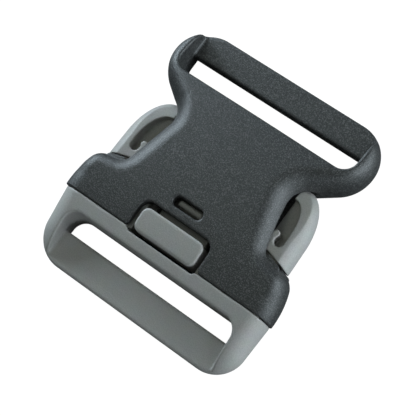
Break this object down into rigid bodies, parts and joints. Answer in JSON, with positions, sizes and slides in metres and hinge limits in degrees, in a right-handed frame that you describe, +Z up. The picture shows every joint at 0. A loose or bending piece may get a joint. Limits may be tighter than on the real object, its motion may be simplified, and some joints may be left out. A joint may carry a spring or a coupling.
{
  "type": "side release buckle",
  "caption": "Fastened side release buckle for 50 mm webbing: a charcoal socket with a strap loop, a light grey plug with a strap frame, side prongs and a push button.",
  "frame": {"origin": "middle of the flat underside, under the centre of the whole buckle's box", "axes": "+X across the buckle along the strap bars, +Y from the plug to the socket along the strap, +Z up from the flat underside to the arched top"},
  "size_m": [0.0672, 0.0762, 0.0165],
  "materials": {
    "charcoal": "fine spark-eroded grain, matte",
    "light_grey": "fine satin"
  },
  "bodies": {
    "shell": {"socket": "charcoal", "plug": "light_grey"},
    "left_prong": {"prong_left": "light_grey"},
    "right_prong": {"prong_right": "light_grey"},
    "push_button": {"button": "light_grey"}
  },
  "joints": [
    {"name": "squeeze_left", "type": "hinge", "parent": "shell", "child": "left_prong", "pos_m": [-0.0244, -0.01628, 0.00737], "axis": [0, 0, -1], "range_deg": [0, 9], "stiffness_Nm_per_rad": 2},
    {"name": "squeeze_right", "type": "hinge", "parent": "shell", "child": "right_prong", "pos_m": [0.0244, -0.01628, 0.00737], "axis": [0, 0, 1], "range_deg": [0, 9], "stiffness_Nm_per_rad": 2},
    {"name": "press_button", "type": "hinge", "parent": "shell", "child": "push_button", "pos_m": [0, 0.00477, 0.00737], "axis": [1, 0, 0], "range_deg": [0, 7], "stiffness_Nm_per_rad": 1.3}
  ]
}
